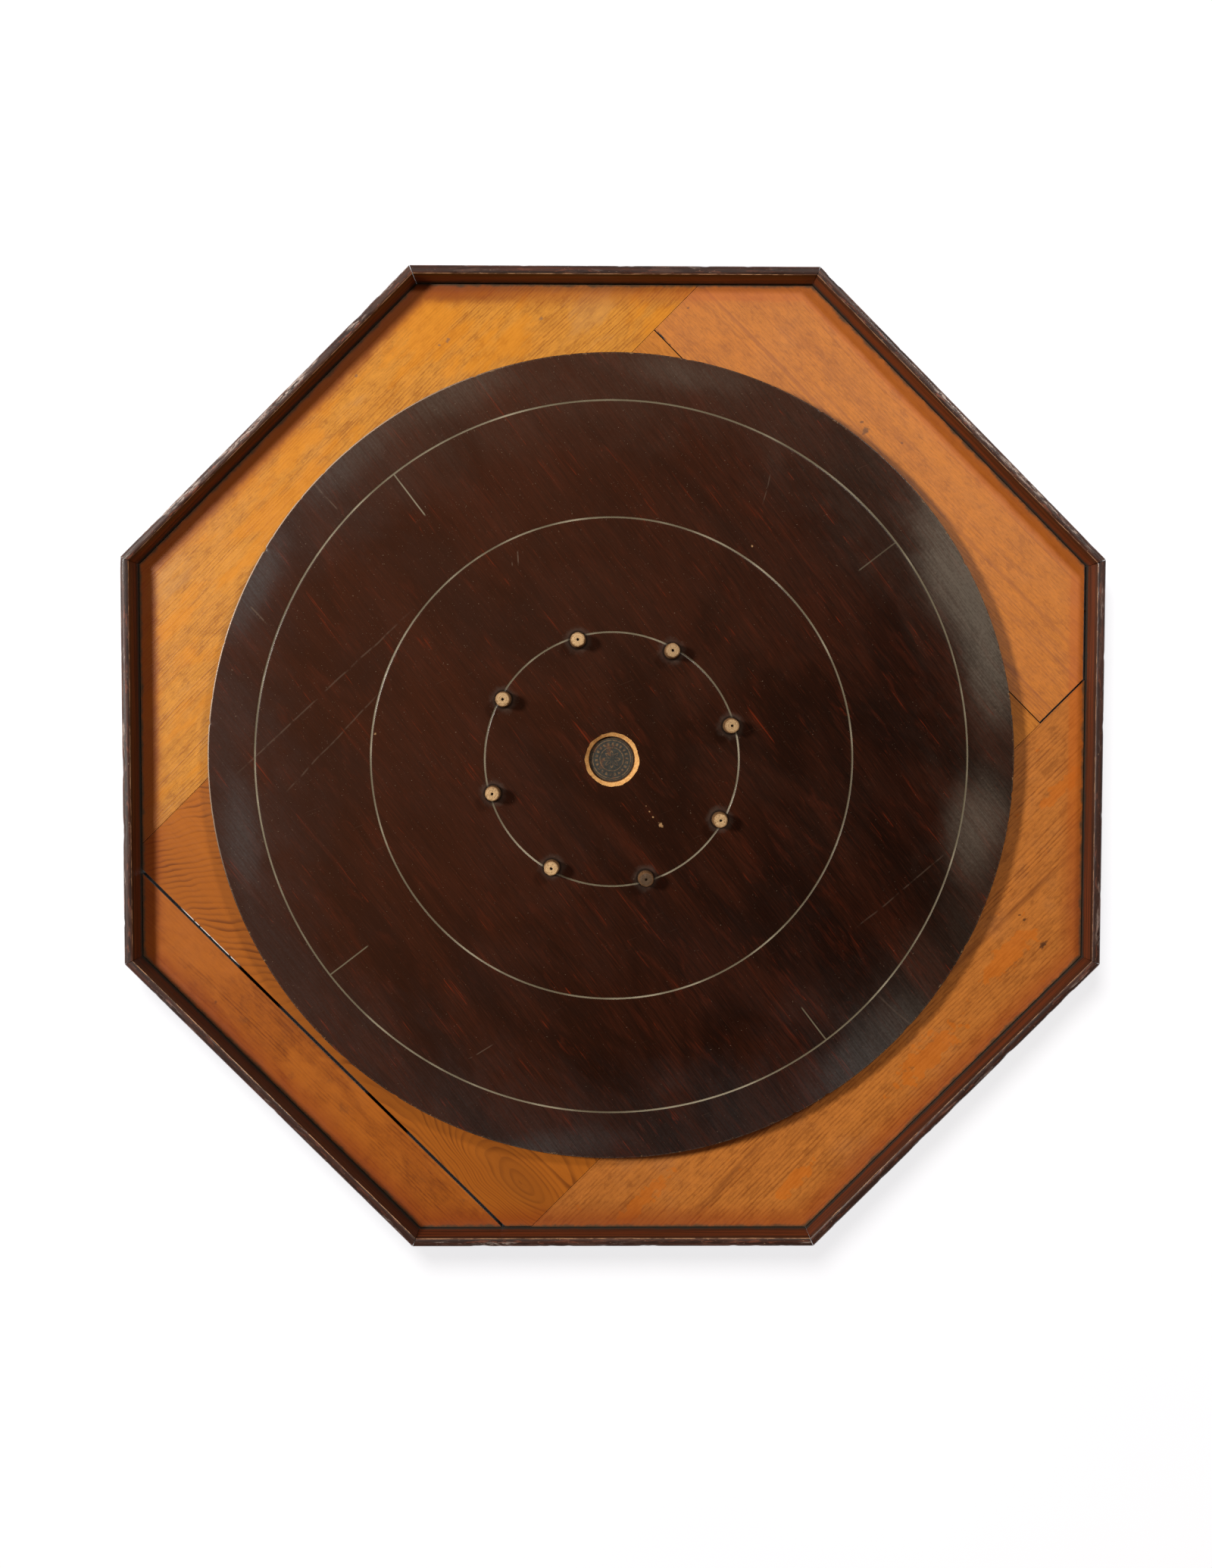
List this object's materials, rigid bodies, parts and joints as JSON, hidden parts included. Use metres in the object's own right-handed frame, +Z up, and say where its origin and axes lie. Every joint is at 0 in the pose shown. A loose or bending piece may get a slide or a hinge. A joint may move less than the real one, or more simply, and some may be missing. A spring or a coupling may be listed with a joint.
{
  "type": "crokinole board",
  "caption": "Octagonal wooden crokinole board: dark round playing disc with scored circles, a ring of pegs and a centre hole, on a plank base inside a mitred rail.",
  "frame": {"origin": "middle of the board on the table, at the middle of the underside of its box", "axes": "+Z up from the table through the centre hole, +X towards the east rail, +Y towards the north rail"},
  "size_m": [0.8, 0.8, 0.051],
  "materials": {
    "base_wood": "varnished",
    "disc_wood": "worn satin stain",
    "rail_wood": "worn satin stain",
    "peg_wood": "bare",
    "batten_wood": "bare",
    "label_paper": "matt print",
    "steel": "dull"
  },
  "bodies": {
    "root": {"upper_left_plank": "base_wood", "upper_right_plank": "base_wood", "lower_right_plank": "base_wood", "lower_left_plank": "base_wood", "lower_left_strip": "base_wood", "centre_plank_1": "base_wood", "centre_plank_2": "base_wood", "back_batten_1": "batten_wood", "back_batten_2": "batten_wood", "playing_disc": "disc_wood", "centre_label": "label_paper", "peg_1": "peg_wood", "peg_2": "peg_wood", "peg_3": "peg_wood", "peg_4": "peg_wood", "peg_5": "peg_wood", "peg_6": "peg_wood", "peg_7": "peg_wood", "peg_8": "peg_wood", "rail_north": "rail_wood", "rail_north_west": "rail_wood", "rail_west": "rail_wood", "rail_south_west": "rail_wood", "rail_south": "rail_wood", "rail_south_east": "rail_wood", "rail_east": "rail_wood", "rail_north_east": "rail_wood", "rail_nails": "steel", "batten_screws": "steel", "disc_screws": "steel", "peg_brads": "steel"}
  },
  "joints": []
}
